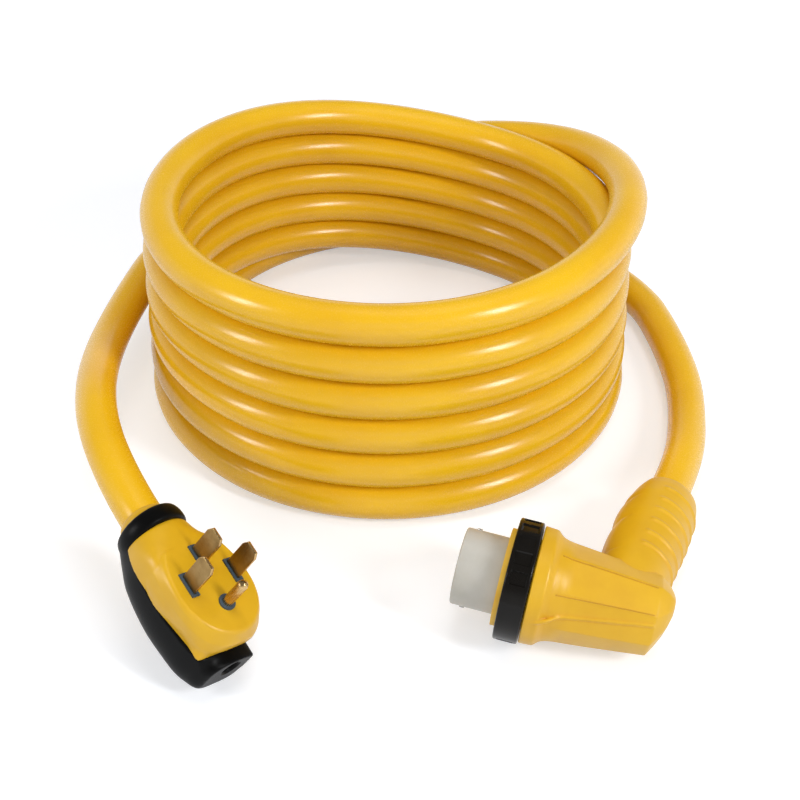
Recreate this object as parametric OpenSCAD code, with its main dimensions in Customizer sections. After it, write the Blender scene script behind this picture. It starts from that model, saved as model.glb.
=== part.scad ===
// Shore power cord: a coiled four-core cord with a straight-blade plug and grip at one end
// and a right-angle locking connector with a spinning ring at the other.
// Millimetres. The origin is on the floor at the middle of the coil, and +Z is up.

/* [Cord and coil] */
// Outside diameter of the cord
cord_d = 27; // [24:0.5:27.5]
// Diameter of one insulated core inside the cord
core_d = 7.2; // [6:0.2:7.4]
// Turns seen at the front of the coil
coil_turns = 6; // [4:1:8]
// Radius of the top turn, to the middle of the cord
top_turn_r = 161; // [150:1:175]
// Radius of the bottom turn, to the middle of the cord
bottom_turn_r = 167.5; // [155:0.5:180]
// Air between one turn and the next
turn_gap = 0.8; // [0.7:0.1:3]

/* [Plug] */
// Distance between the two line blades
line_spacing = 35; // [33:0.5:38]
// Neutral blade, ahead of the line between the line blades
neutral_ahead = 15; // [14:0.5:17]
// Ground pin, behind the line between the line blades
ground_behind = 17.5; // [16:0.5:19]
// Length of a blade outside the face
blade_len = 24.5; // [20:0.5:28]
// Width of a blade
blade_w = 12.5; // [10:0.5:13.5]
// Thickness of a blade
blade_t = 2; // [1.6:0.1:2.6]
// Diameter of the ground pin
pin_d = 6.4; // [5:0.1:7.5]
// Length of the ground pin outside the face
pin_len = 22; // [18:0.5:26]
// Length of the oval face
face_l = 64; // [60:1:70]
// Width of the oval face
face_w = 57; // [54:1:62]
// Depth of the yellow body below its face
body_depth = 21; // [20:0.5:25]
// Depth of the grip below the body
grip_depth = 31; // [26:0.5:36]
// Outside radius of the sleeve round the cord
sleeve_r = 17; // [16.5:0.25:19]
// Length of the sleeve
sleeve_len = 12; // [11.5:0.5:16]
// Slope of the cord where it leaves the plug, in degrees
cord_tilt = 9; // [4:1:12]
// Sideways turn of the cord where it leaves the plug, in degrees
cord_yaw = 7; // [0:1:9]
// Diameter of the hanging hole in the tail of the grip
hang_hole_d = 11; // [6:0.5:12]
// Depth of the hanging hole
hang_hole_depth = 14; // [8:0.5:18]

/* [Connector] */
// Outside diameter of the locking ring
ring_d = 74.8; // [70:0.2:75.4]
// Width of the locking ring
ring_w = 15; // [12:0.5:16]
// Diameter of the white contact insert
insert_d = 47.4; // [42:0.2:48]
// Distance that the insert stands out from the middle of the ring
insert_out = 37.5; // [30:0.5:44]
// Diameter of the flange behind the ring
flange_d = 72; // [70:0.5:74]
// Diameter of the sealing lip in front of the ring
lip_d = 60; // [56:0.5:61]
// Length of the side arm, from the axis of the connector
arm_len = 113; // [110:1:125]
// Slope of the side arm, in degrees
arm_drop = 3.5; // [2:0.5:4]

/* [Fits] */
// Clearance round a piece seated in another
seat_gap = 0.15; // [0.1:0.05:0.3]
// Clearance between the spinning ring and the groove that it turns in
ring_fit = 0.1; // [0.05:0.01:0.1]
// Clearance at the sides of the spinning ring
ring_gap = 0.3; // [0.25:0.05:0.5]

/* [Hidden] */
$fn = 64;
cord_r = cord_d / 2;
core_r = core_d / 2;
// Radius of the circle that the four cores lie on
core_ring_r = core_r * sqrt(2) + 0.3;
// Sides of the cord's tube, whose flat side lies on the floor
cord_sides = 8;
cord_rest = cord_r * cos(180 / cord_sides);

// Where the plug and the connector lie, and how they are turned
plug_at = [-101, -285.5, 60];
plug_turn = [-23.5, 25.5, -51.5];
connector_at = [81, -267, 38.5];
connector_turn = [0, -5.5, 165];

// Coil: angles run clockwise seen from above, with 0 at the right and 90 at the front
ring_step = 15;
pitch = cord_d + turn_gap;
turn_grow = (bottom_turn_r - top_turn_r) / (coil_turns - 1);
// Share of the back half in which a turn drops to the one below
drop_share = 0.7;
// Angles at which the top strand leaves the turn below it and has come down beside it
cross_start = 45;
cross_end = -50;
// Angle at which the strand to the plug leaves the coil, how far out it is there and how high
ramp_end = -172;
ramp_out = 37;
ramp_height = 55;
// Extra distance that the bottom turn swings out behind the coil
swing_out = 26;
coil_end = coil_turns * 360 - 4;

// Free leads, from the plug and from the connector to the coil
plug_route = [[-182, -182, 79], [-192, -148, 78], [-198, -117, 73], [-202, -89, 65], [-205, -58, 58]];
connector_route = [[216, -97, 14], [221, -69, 12.5]];
// Straight run of the cord out of the connector's arm
arm_run = 2.3 * cord_d;

// Plug: X runs from the cord to the tail, Z along the blades, with 0 at the face on the line blades
face_shift = 5;
body_l = face_l + 11;
body_w = face_w + 2.5;
body_shift = 2;
body_tail = body_shift + 1 + (body_l - 1) / 2;
neck_w = 44;
neck_h = body_depth - 4;
neck_x = -46;
sleeve_bore_r = cord_r + seat_gap;
sleeve_seat = 4;
rim_h = 2;
collar_r = sleeve_r + 4.5;
collar_w = 8.5;
collar_from = -2.5;
collar_round = 2;
grip_w = face_w + 1;
grip_front = neck_x - 6;
tail_x = 47;
tail_drop = 6;
tail_w = 30;
tail_top = 18;
tail_bottom = 36;
plate_top = 4;
plate_t = 4;
plate_l = 50;
blade_collar_l = blade_w + 3.5;
blade_collar_w = blade_t + 3.6;
plate_w = line_spacing + blade_collar_w + 3.4;
pin_collar_d = pin_d + 4.2;
pin_shank_d = pin_d - 0.6;
pin_shoulder = 0.5;
blade_collar_h = 1.2;
chamber_top = plate_top + plate_t + 3.5;
barrel_r = core_r + 1;
barrel_l = 16;
barrel_depth = plate_top + plate_t + 0.4 + barrel_r;
tunnel_w = 25;
tunnel_depth = 11;

// Connector: X runs along its axis to the front, with 0 at the middle of the ring
ring_r = ring_d / 2;
ring_half = ring_w / 2;
thread_r = lip_d / 2 + 1;
flange_r = flange_d / 2;
insert_r = insert_d / 2;
flange_x = -ring_half - ring_gap - 0.2;
insert_back = -15;
strap_t = 2;
block_back = -42;
collar_inner_r = insert_r + seat_gap;
groove_r = insert_r + 3.7;
spigot_r = insert_r + 4.7;
tube_r = lip_d / 2 - 0.5;
hook_t = 4;
lip_t = 3;
spigot_back = flange_x - 8;
boot_r = 30.5;
arm_r = 24.5;
elbow_x = -62;
arm_lean = 9;
elbow_cavity_r = 20;
arm_cavity_r = 19;
clamp_from = 80;
clamp_w = 14;
clamp_to = clamp_from + clamp_w;
clamp_screw_l = 12;
clamp_split = 1;
jacket_from = 74;
slot_r = 14;
slot_w = 3.5;
slot_angle = 50;
core_bore_r = slot_r + slot_w / 2;
contact_t = 1.6;
contact_front = 24;
contact_back = -30;
clip_x = 30;
clip_w = 4;
clip_t = 1;
clip_r = insert_r - 1.2;
clip_l = clip_x + clip_w - insert_back;
dot_r = 1.6;
dot_h = 0.8;
strap_inset = 1.2;
pad_count = 6;
pad_pitch = 19;
screw_r = 2;
head_r = 3.6;
head_h = 2.4;
insert_screw_y = 7;
block_screw_x = -25;

// Vectors and smooth steps
function unit(v) = v / norm(v);
function smooth(t) = let (u = min(max(t, 0), 1)) u * u * (3 - 2 * u);
function power(v, e) = sign(v) * pow(abs(v), e);
function about_x(v, a) = [v.x, v.y * cos(a) - v.z * sin(a), v.y * sin(a) + v.z * cos(a)];
function about_y(v, a) = [v.x * cos(a) + v.z * sin(a), v.y, v.z * cos(a) - v.x * sin(a)];
function about_z(v, a) = [v.x * cos(a) - v.y * sin(a), v.x * sin(a) + v.y * cos(a), v.z];
function turned(v, a) = about_z(about_y(about_x(v, a.x), a.y), a.z);

// A closed skin over rings of points that run anticlockwise round the line they are stacked along
module skin(rings) {
    n = len(rings[0]);
    m = len(rings);
    sides = [for (j = [0:m - 2], i = [0:n - 1], k = [0, 1])
        let (a = j * n + i, b = j * n + (i + 1) % n)
        k == 0 ? [a, b + n, b] : [a, a + n, b + n]];
    first_cap = [for (i = [1:n - 2]) [0, i, i + 1]];
    last_cap = [for (i = [1:n - 2]) [(m - 1) * n, (m - 1) * n + i + 1, (m - 1) * n + i]];
    polyhedron(points = [for (r = rings) each r], faces = concat(sides, first_cap, last_cap));
}

// A round tube along a path whose first and last runs are straight
function heading(p, i) = let (n = len(p) - 1)
    unit(i <= 1 ? p[1] - p[0] : i >= n - 1 ? p[n] - p[n - 1] : p[i + 1] - p[i - 1]);
function tube_ring(c, t, r) = let (side = unit(cross([0, 0, 1], t)), up = cross(t, side))
    [for (k = [0:cord_sides - 1]) let (a = 360 * (k + 0.5) / cord_sides)
        c + r * (cos(a) * side + sin(a) * up)];
module tube(path, r) {
    skin([for (i = [0:len(path) - 1]) tube_ring(path[i], heading(path, i), r)]);
}

// Coil: the radius and height of the cord's middle at each angle
function swing(q) = pitch * sin(90 * smooth(q / drop_share)) + swing_out * smooth((q - 0.45) * 2);
function turn_spot(p) = let (n = min(floor(p / 360), coil_turns - 1), q = max(p / 180 - 2 * n - 1, 0))
    n == coil_turns - 1
        ? [bottom_turn_r + swing(q), cord_rest]
        : [top_turn_r + turn_grow * (n + smooth(q)),
            cord_rest + pitch * (coil_turns - 2 - n + cos(90 * smooth(q / drop_share)))];
// The top strand leans out over the turn below it, then comes down beside it
function cross_spot(p) =
    let (u = (cross_start - p) / (cross_start - cross_end), lean = 90 * (1 - cos(90 * u)))
    turn_spot(p + 360) + [(pitch + 1) * sin(lean) - turn_grow * cos(lean), pitch * cos(lean)];
// Behind the coil the strand slopes down towards the plug
function ramp_spot(p) =
    let (s = cross_spot(cross_end), run = cross_end - ramp_end, u = (cross_end - p) / run,
        fall = pitch * PI * PI / 4 / (cross_start - cross_end) * run)
    [s[0] + (top_turn_r + ramp_out - s[0]) * smooth(1.08 * u),
        (2 * u^3 - 3 * u^2 + 1) * s[1] - (u^3 - 2 * u^2 + u) * fall
            + (3 * u^2 - 2 * u^3) * ramp_height];
function coil_spot(p) = p > cross_start ? turn_spot(p) : p > cross_end ? cross_spot(p) : ramp_spot(p);
function coil_point(p) = let (s = coil_spot(p)) [s[0] * cos(p), -s[0] * sin(p), s[1]];
coil_turn_points = [for (p = [ramp_end:ring_step:coil_end]) coil_point(p)];
coil_first_way = let (v = coil_point(ramp_end) - coil_point(ramp_end + 2)) unit([v.x, v.y, 0]);
coil_last_way = let (v = coil_point(coil_end) - coil_point(coil_end - 2)) unit([v.x, v.y, 0]);
coil_path = concat([coil_turn_points[0] + cord_d * coil_first_way], coil_turn_points,
    [coil_point(coil_end), coil_point(coil_end) + cord_d * coil_last_way]);

// The least gap between strands, measured between points at least half a turn apart
near_points = floor(180 / ring_step);
coil_gap = min([for (i = [0:len(coil_path) - 1], j = [i + near_points:1:len(coil_path) - 1])
    norm(coil_path[i] - coil_path[j])]) - cord_d;
function path_length(p) = len(p) < 2 ? 0 : norm(p[1] - p[0])
    + path_length([for (i = [1:1:len(p) - 1]) p[i]]);

// Where the cord leaves the plug and the connector
sleeve_turn = [0, -90 - cord_tilt, -cord_yaw];
function in_sleeve(along, side, up) = [neck_x, 0, -body_depth] + turned([up, side, along], sleeve_turn);
plug_exit = plug_at + turned(in_sleeve(sleeve_len, 0, 0), plug_turn);
plug_exit_way = turned(turned([0, 0, 1], sleeve_turn), plug_turn);
arm_turn = [90 + arm_drop, 0, -arm_lean];
function in_arm(along, ahead, up) = [elbow_x, 0, 0] + turned([ahead, up, along], arm_turn);
arm_exit = connector_at + turned(in_arm(arm_len, 0, 0), connector_turn);
arm_exit_way = turned(turned([0, 0, 1], arm_turn), connector_turn);
plug_path = concat([plug_exit, plug_exit + cord_d * plug_exit_way], plug_route,
    [coil_path[0] + cord_d * coil_first_way, coil_path[0]]);
connector_path = concat([arm_exit, arm_exit + arm_run * arm_exit_way], connector_route,
    [coil_path[len(coil_path) - 1] + cord_d * coil_last_way, coil_path[len(coil_path) - 1]]);
echo(coil_gap = coil_gap, coil_length = path_length(coil_path),
    plug_lead_length = path_length(plug_path), connector_lead_length = path_length(connector_path));

// Places of the plug, its sleeve, the connector and its arm
module on_plug() {
    translate(plug_at) rotate(plug_turn) children();
}
module on_sleeve() {
    translate([neck_x, 0, -body_depth]) rotate(sleeve_turn) children();
}
module on_connector() {
    translate(connector_at) rotate(connector_turn) children();
}
module along_x() {
    rotate([0, 90, 0]) children();
}
module on_arm() {
    translate([elbow_x, 0, 0]) rotate(arm_turn) children();
}

// Outlines
module rounded(l, w, r) {
    square([l - 2 * r, w], center = true);
    square([l, w - 2 * r], center = true);
    for (x = [-1, 1], y = [-1, 1])
        translate([x * (l / 2 - r), y * (w / 2 - r)]) circle(r);
}
module carrier_outline(gap) {
    translate([1, 0]) rounded(plate_l + 2 * gap, plate_w + 2 * gap, 6 + gap);
}
module blade_collars(gap) {
    for (spot = [[-neutral_ahead, 0], [0, -line_spacing / 2], [0, line_spacing / 2]])
        translate(spot) square([blade_collar_l + 2 * gap, blade_collar_w + 2 * gap], center = true);
    translate([ground_behind, 0]) circle(d = pin_collar_d + 2 * gap);
}
module wire_chamber() {
    polygon([[neck_x - 8, -11], [-40, -14], [-22, -plate_w / 2], [26, -plate_w / 2],
        [26, plate_w / 2], [-22, plate_w / 2], [-40, 14], [neck_x - 8, 11]]);
}

// Plug
// The body is nearly square below and turns into the oval of its face
function oval(shift, l, w, z, square_to, taper) = [for (i = [0:39])
    let (x = shift + l / 2 * power(cos(9 * i), square_to))
    [x, w / 2 * power(sin(9 * i), square_to) * (1 - taper * smooth(2.4 * x / l)), z]];
module plug_dome() {
    skin([oval(body_shift, body_l - 4, body_w - 1, -body_depth, 0.4, 0.17),
        oval(body_shift + 1, body_l - 1, body_w, -body_depth * 2 / 3, 0.55, 0.12),
        oval(body_shift + 2, body_l - 2, body_w - 0.5, -8, 0.8, 0.03),
        oval(face_shift - 0.3, face_l + 3, face_w + 1, -3, 0.95, 0),
        oval(face_shift, face_l + 1, face_w, -1, 1, 0),
        oval(face_shift, face_l - 3, face_w - 4, 0, 1, 0)]);
}
function neck_ring(x, w, h) = [for (i = [0:18]) [x, w / 2 * cos(10 * i), h * sin(10 * i) - body_depth]];
module plug_neck() {
    skin([neck_ring(neck_x - 6, neck_w, neck_h), neck_ring(neck_x + 4, neck_w + 4, neck_h),
        neck_ring(neck_x + 20, body_w - 5, neck_h), neck_ring(neck_x + 34, body_w - 3, neck_h + 1),
        neck_ring(face_shift, body_w - 4, neck_h)]);
}
module plug_body() color("gold") on_plug() difference() {
    union() {
        plug_dome();
        plug_neck();
    }
    translate([0, 0, -body_depth - 1]) linear_extrude(body_depth + 1 - chamber_top) wire_chamber();
    translate([neck_x - 8, -core_d * 0.6, -body_depth - 1])
        cube([plate_l - 14, core_d * 1.2, body_depth + 1 - plate_top - plate_t]);
    translate([0, 0, -body_depth - 1])
        linear_extrude(body_depth + 1 - plate_top) carrier_outline(seat_gap);
    translate([0, 0, -plate_top - 1]) linear_extrude(plate_top + 2) blade_collars(seat_gap);
    on_sleeve() translate([0, 0, collar_from - seat_gap]) cylinder(r = 2 * neck_w, h = neck_w);
}

function grip_ring(x, w, h) = [for (i = [0:24]) let (a = 180 + 7.5 * i)
    [x, w / 2 * power(cos(a), 0.62), h * power(sin(a), 0.62) - body_depth]];
module grip_shell() {
    skin([grip_ring(grip_front, grip_w - 17, grip_depth - 11),
        grip_ring(-40, grip_w - 11.5, grip_depth - 6), grip_ring(-25, grip_w - 4, grip_depth - 2),
        grip_ring(0, grip_w - 1, grip_depth), grip_ring(20, grip_w - 4, grip_depth - 1),
        grip_ring(tail_x - 15, grip_w - 10, grip_depth - 2),
        grip_ring(tail_x - 9, grip_w - 16, grip_depth - 4),
        grip_ring(tail_x - 5, grip_w - 25, grip_depth - 5),
        grip_ring(tail_x - 1.5, tail_w, grip_depth - 6),
        grip_ring(tail_x, tail_w - 3, grip_depth - 9.4)]);
}
module grip_tail() {
    translate([body_tail + 2 * seat_gap, 0, -(tail_top + tail_bottom) / 2]) along_x()
        linear_extrude(tail_w) rounded(tail_bottom - tail_top, tail_w, 5);
}
module grip_collar() {
    rotate_extrude() {
        translate([sleeve_r, collar_from]) square([collar_r - sleeve_r - collar_round, collar_w]);
        translate([sleeve_r, collar_from + collar_round])
            square([collar_r - sleeve_r, collar_w - 2 * collar_round]);
        for (z = [collar_round, collar_w - collar_round])
            translate([collar_r - collar_round, collar_from + z]) circle(collar_round);
    }
}
module on_tail() {
    translate([tail_x, 0, -body_depth - tail_drop]) rotate([0, 90, 0]) children();
}
module plug_grip() color("#1c1c1c") on_plug() difference() {
    union() {
        difference() {
            grip_shell();
            on_sleeve() translate([0, 0, collar_from + collar_w / 2]) cylinder(r = grip_w, h = grip_w);
        }
        on_sleeve() grip_collar();
        grip_tail();
    }
    on_sleeve() translate([0, 0, collar_from - seat_gap])
        cylinder(r = sleeve_r + seat_gap, h = sleeve_len + collar_w);
    translate([neck_x - 8, -tunnel_w / 2, -body_depth - tunnel_depth])
        cube([ground_behind - barrel_l / 2 - neck_x + 8, tunnel_w, tunnel_depth + 1]);
    on_tail() translate([-grip_w / 2, -grip_w / 2, 0]) cube(grip_w);
    on_tail() translate([0, 0, -hang_hole_depth]) cylinder(d = hang_hole_d, h = hang_hole_depth + 1);
}
module plug_sleeve() color("gold") on_plug() on_sleeve() rotate_extrude()
    polygon([[sleeve_bore_r, collar_from], [sleeve_r, collar_from], [sleeve_r, collar_from + collar_w + 2.5],
        [sleeve_r - rim_h, sleeve_len], [sleeve_bore_r, sleeve_len]]);

module blade_carrier() color("slategray") on_plug() difference() {
    union() {
        translate([0, 0, -plate_top - plate_t]) linear_extrude(plate_t) carrier_outline(0);
        translate([0, 0, -plate_top]) linear_extrude(plate_top + blade_collar_h) blade_collars(0);
    }
    translate([0, 0, -plate_top - plate_t - 1]) linear_extrude(plate_top + plate_t + blade_collar_h + 2) {
        for (spot = [[-neutral_ahead, 0], [0, -line_spacing / 2], [0, line_spacing / 2]])
            translate(spot) square([blade_w + 2 * seat_gap, blade_t + 2 * seat_gap], center = true);
        translate([ground_behind, 0]) circle(d = pin_shank_d + 2 * seat_gap);
    }
}
module crimp_barrel(x) {
    translate([x - barrel_l / 2, 0, -barrel_depth]) along_x() cylinder(r = barrel_r, h = barrel_l);
}
module blade(x, y) color("goldenrod") on_plug() translate([x, y, 0]) {
    rotate([90, 0, 0]) translate([0, 0, -blade_t / 2]) linear_extrude(blade_t)
        polygon([[-blade_w / 2, -barrel_depth], [blade_w / 2, -barrel_depth],
            [blade_w / 2, blade_len - 4], [blade_w / 2 - 2, blade_len],
            [2 - blade_w / 2, blade_len], [-blade_w / 2, blade_len - 4]]);
    crimp_barrel(0);
}
module ground_pin() color("goldenrod") on_plug() translate([ground_behind, 0, 0]) {
    translate([0, 0, -barrel_depth]) cylinder(d = pin_shank_d, h = barrel_depth + pin_len / 2);
    translate([0, 0, blade_collar_h + pin_shoulder])
        cylinder(d = pin_d, h = pin_len - pin_d / 2 - blade_collar_h - pin_shoulder);
    translate([0, 0, pin_len - pin_d / 2]) sphere(d = pin_d);
    crimp_barrel(0);
}

// Cores of the plug, from the end of the jacket to the crimp barrels
module plug_wire(side, up, route, x, y) on_plug()
    tube(concat([in_sleeve(sleeve_seat, side, up), in_sleeve(sleeve_seat - core_d, side, up)], route,
        [[x - barrel_l / 2 - core_d, y, -barrel_depth], [x - barrel_l / 2, y, -barrel_depth]]), core_r);
module plug_wire_neutral() color("white") plug_wire(0, core_ring_r, [], -neutral_ahead, 0);
module plug_wire_line(dir) plug_wire(dir * core_ring_r, 0,
    [[-34, dir * 10, -18], [-25, dir * 15, -16]], 0, dir * line_spacing / 2);
module plug_wire_ground() color("green") plug_wire(0, -core_ring_r,
    [[-28, 0, -24.5], [-8, 0, -24]], ground_behind, 0);

module plug_jacket_end() color("gold") on_plug() on_sleeve() translate([0, 0, sleeve_seat])
    cylinder(r = cord_r, h = sleeve_len - sleeve_seat);

// Cord
module plug_lead() color("gold") tube(plug_path, cord_r);
module cord_coil() color("gold") tube(coil_path, cord_r);
module connector_lead() color("gold") tube(connector_path, cord_r);
module connector_jacket_end() color("gold") on_connector() on_arm() translate([0, 0, jacket_from])
    cylinder(r = cord_r, h = arm_len - jacket_from);

// Connector
module connector_boot() color("gold") on_connector() difference() {
    union() {
        along_x() rotate_extrude() polygon([[0, flange_x], [flange_r, flange_x],
            [flange_r - 1, flange_x - 9], [boot_r - 0.5, flange_x - 12], [boot_r, elbow_x / 2],
            [boot_r - 2, elbow_x + 16], [boot_r - 4.7, elbow_x - 4], [boot_r - 7.5, elbow_x - 22],
            [boot_r - 11.5, elbow_x - 27], [boot_r - 20.5, elbow_x - 30], [0, elbow_x - 30]]);
        on_arm() rotate_extrude() polygon([[0, 0], [arm_r - 2, 0], [arm_r - 2, 20], [arm_r - 1.2, 40],
            [arm_r - 0.5, 54], [arm_r, 70], [arm_r - 0.5, clamp_from + 12], [arm_r - 2, arm_len - 8],
            [arm_r - 4, arm_len - 2.5], [cord_r + 3.5, arm_len], [0, arm_len]]);
    }
    along_x() translate([0, 0, spigot_back])
        cylinder(r = spigot_r + seat_gap, h = flange_x - spigot_back + 1);
    along_x() translate([0, 0, block_back]) cylinder(r = insert_r + 1, h = -block_back);
    along_x() translate([0, 0, elbow_x - elbow_cavity_r / 2])
        cylinder(r = elbow_cavity_r, h = elbow_cavity_r);
    along_x() translate([0, 0, elbow_x]) cylinder(r = elbow_cavity_r, h = block_back - elbow_x + 1);
    on_arm() cylinder(r = arm_cavity_r, h = clamp_to + 1);
    on_arm() cylinder(r = cord_r + seat_gap, h = arm_len + 1);
}

module grip_pads() {
    for (half = [0, 180], i = [0:pad_count - 1])
        rotate([half + (i - (pad_count - 1) / 2) * pad_pitch, 0, 0])
            translate([0, 0, ring_r + 1]) cube([ring_w - 5, 8, 3.4], center = true);
}
module locking_ring() color("#262626") on_connector() difference() {
    along_x() rotate_extrude() polygon([[groove_r + ring_fit, -ring_half], [ring_r - 1, -ring_half],
        [ring_r, 1 - ring_half], [ring_r, ring_half - 1], [ring_r - 1, ring_half], [thread_r, ring_half],
        [thread_r, hook_t - ring_half], [groove_r + ring_fit, hook_t - ring_half]]);
    rotate([-5, 0, 0]) grip_pads();
}
module sealing_collar() color("khaki") on_connector() along_x() rotate_extrude()
    polygon([[collar_inner_r, spigot_back], [spigot_r, spigot_back], [spigot_r, flange_x],
        [groove_r, flange_x], [groove_r, hook_t - ring_half + ring_gap],
        [tube_r, hook_t - ring_half + ring_gap], [tube_r, ring_half + ring_gap],
        [lip_d / 2, ring_half + ring_gap], [lip_d / 2, ring_half + ring_gap + lip_t],
        [collar_inner_r, ring_half + ring_gap + lip_t]]);

// Angles round the insert start at the bottom, towards the far side of the arm
contact_angles = [60, 180, 300];
module arc(angle, r, w, spread, from, to) {
    along_x() rotate([0, 0, angle - spread / 2]) translate([0, 0, from])
        rotate_extrude(angle = spread) translate([r - w / 2, 0]) square([w, to - from]);
}
module contact_slots(from, to) {
    for (a = contact_angles)
        arc(a, slot_r, slot_w, slot_angle, from, to);
}
module insert_screw_holes(r, from, to) {
    for (y = [-insert_screw_y, insert_screw_y])
        translate([from, y, 0]) along_x() cylinder(r = r, h = to - from);
}
module clip_grooves(gap) {
    for (side = [0, 180])
        rotate([side, 0, 0]) translate([insert_back - 1, -clip_w / 2 - gap, clip_r - clip_t - gap])
            cube([clip_l + 1 + gap, clip_w + 2 * gap, insert_r]);
}
module contact_insert() color("ivory") on_connector() difference() {
    translate([insert_back, 0, 0]) along_x() cylinder(r = insert_r, h = insert_out - insert_back);
    translate([insert_back - 1, 0, 0]) along_x()
        cylinder(r = core_bore_r, h = insert_out - insert_back + 2);
    clip_grooves(seat_gap);
}
module insert_core() color("ivory") on_connector() difference() {
    translate([insert_back, 0, 0]) along_x()
        cylinder(r = core_bore_r - seat_gap, h = insert_out - insert_back);
    contact_slots(insert_back - 1, insert_out + 1);
    insert_screw_holes(screw_r + seat_gap, insert_back - 1, 2 + seat_gap);
}
module contact(angle) color("goldenrod") on_connector()
    arc(angle, slot_r + slot_w / 2 - contact_t / 2 - seat_gap, contact_t, slot_angle - 3,
        contact_back, contact_front);
module ground_clips() color("silver") on_connector() for (side = [0, 180]) rotate([side, 0, 0]) {
    translate([insert_back, -clip_w / 2, clip_r - clip_t]) cube([clip_l, clip_w, clip_t]);
    translate([clip_x, 0, clip_r - clip_t / 2])
        cylinder(r = dot_r, h = insert_r - clip_r + clip_t / 2 + dot_h);
}
module ground_strap() color("silver") on_connector() {
    translate([insert_back - strap_t, 0, 0]) along_x() difference() {
        cylinder(r = insert_r, h = strap_t);
        translate([0, 0, -1]) cylinder(r = slot_r + slot_w, h = strap_t + 2);
    }
    translate([block_back, -clip_w, strap_inset - insert_r])
        cube([insert_back - strap_t - block_back, 2 * clip_w, strap_t]);
}
module terminal_block() color("ivory") on_connector() difference() {
    translate([block_back, 0, 0]) along_x() cylinder(r = insert_r, h = insert_back - strap_t - block_back);
    contact_slots(contact_back - seat_gap, insert_back);
    translate([block_back - 1, -clip_w - seat_gap, -insert_r - 1])
        cube([-block_back, 2 * clip_w + 2 * seat_gap, strap_t + strap_inset + 1 + seat_gap]);
    insert_screw_holes(screw_r + seat_gap, block_back - 1, insert_back);
    insert_screw_holes(head_r + seat_gap, block_back - 1, block_back + head_h + seat_gap);
    for (a = contact_angles)
        on_terminal(a) translate([0, 0, slot_r]) {
            cylinder(r = screw_r + seat_gap, h = insert_r);
            translate([0, 0, insert_r - slot_r - head_h - 1]) cylinder(r = head_r + seat_gap, h = insert_r);
        }
}
module on_terminal(angle) {
    translate([block_screw_x, 0, 0]) rotate([angle, 0, 0]) rotate([180, 0, 0]) children();
}
module terminal_screws() color("silver") on_connector() for (a = contact_angles) on_terminal(a) {
    translate([0, 0, slot_r + slot_w / 2]) cylinder(r = screw_r, h = insert_r - slot_r - slot_w / 2 - 1);
    translate([0, 0, insert_r - head_h - 1 + seat_gap]) cylinder(r = head_r, h = head_h);
}
module insert_screws() color("silver") on_connector() {
    insert_screw_holes(screw_r, block_back, 2);
    insert_screw_holes(head_r, block_back, block_back + head_h);
}

// Cores of the connector, from the end of the jacket round the elbow to the terminal block
module connector_wire(ahead, up, route, y, z) on_connector()
    tube(concat([in_arm(jacket_from, ahead, up), in_arm(jacket_from - core_d, ahead, up)], route,
        [[block_back - core_d, y, z], [block_back, y, z]]), core_r);
function terminal_y(angle) = slot_r * sin(angle);
function terminal_z(angle) = -slot_r * cos(angle);
module connector_wire_neutral() color("white") connector_wire(0, core_ring_r,
    [[elbow_x - 9, -45, 4], [elbow_x - 4, -18, 10]], terminal_y(180), terminal_z(180));
module connector_wire_x() color("black") connector_wire(core_ring_r, 0,
    [[elbow_x - 1, -44, -5], [elbow_x + 5, -22, -7]], terminal_y(300), terminal_z(300));
module connector_wire_y() color("red") connector_wire(-core_ring_r, 0,
    [[elbow_x - 16, -42, -5], [elbow_x - 12, -14, -6], [elbow_x, 7, -7]], terminal_y(60), terminal_z(60));
module connector_wire_ground() color("green") connector_wire(0, -core_ring_r,
    [[elbow_x - 9, -45, -12], [elbow_x - 4, -18, -14]], 0, -slot_r);

module clamp_half(side) color("dimgray") on_connector() on_arm() difference() {
    translate([0, 0, clamp_from]) cylinder(r = arm_cavity_r - 2 * seat_gap, h = clamp_w);
    translate([0, 0, clamp_from - 1]) cylinder(r = cord_r + seat_gap, h = clamp_w + 2);
    translate([-cord_d, side > 0 ? clamp_split / 2 - cord_d : -clamp_split / 2, clamp_from - 1])
        cube([2 * cord_d, cord_d, clamp_w + 2]);
    clamp_screw_set(screw_r - 0.5 + seat_gap);
}
module clamp_screw_set(r) {
    for (x = [-1, 1])
        translate([x * (cord_r + arm_cavity_r) / 2, clamp_screw_l / 2, clamp_from + clamp_w / 2])
            rotate([90, 0, 0]) cylinder(r = r, h = clamp_screw_l);
}
module clamp_screws() color("silver") on_connector() on_arm() clamp_screw_set(screw_r - 0.5);

plug_body();
plug_grip();
plug_sleeve();
blade_carrier();
blade(-neutral_ahead, 0);  // neutral_blade
blade(0, -line_spacing / 2);  // line_blade_x
blade(0, line_spacing / 2);  // line_blade_y
ground_pin();
plug_wire_neutral();
color("black") plug_wire_line(-1);  // plug_wire_x
color("red") plug_wire_line(1);  // plug_wire_y
plug_wire_ground();
plug_jacket_end();
plug_lead();
cord_coil();
connector_lead();
connector_jacket_end();
connector_boot();
locking_ring();
sealing_collar();
contact_insert();
insert_core();
contact(300);  // line_contact_x
contact(60);  // line_contact_y
contact(180);  // neutral_contact
ground_clips();
ground_strap();
terminal_block();
terminal_screws();
insert_screws();
connector_wire_neutral();
connector_wire_x();
connector_wire_y();
connector_wire_ground();
clamp_half(1);  // cord_clamp_upper
clamp_half(-1);  // cord_clamp_lower
clamp_screws();
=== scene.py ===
from math import cos, exp, floor, pi, radians, sin, sqrt

import bmesh
import bpy
from mathutils import Matrix, Vector
from mathutils.bvhtree import BVHTree


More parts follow.
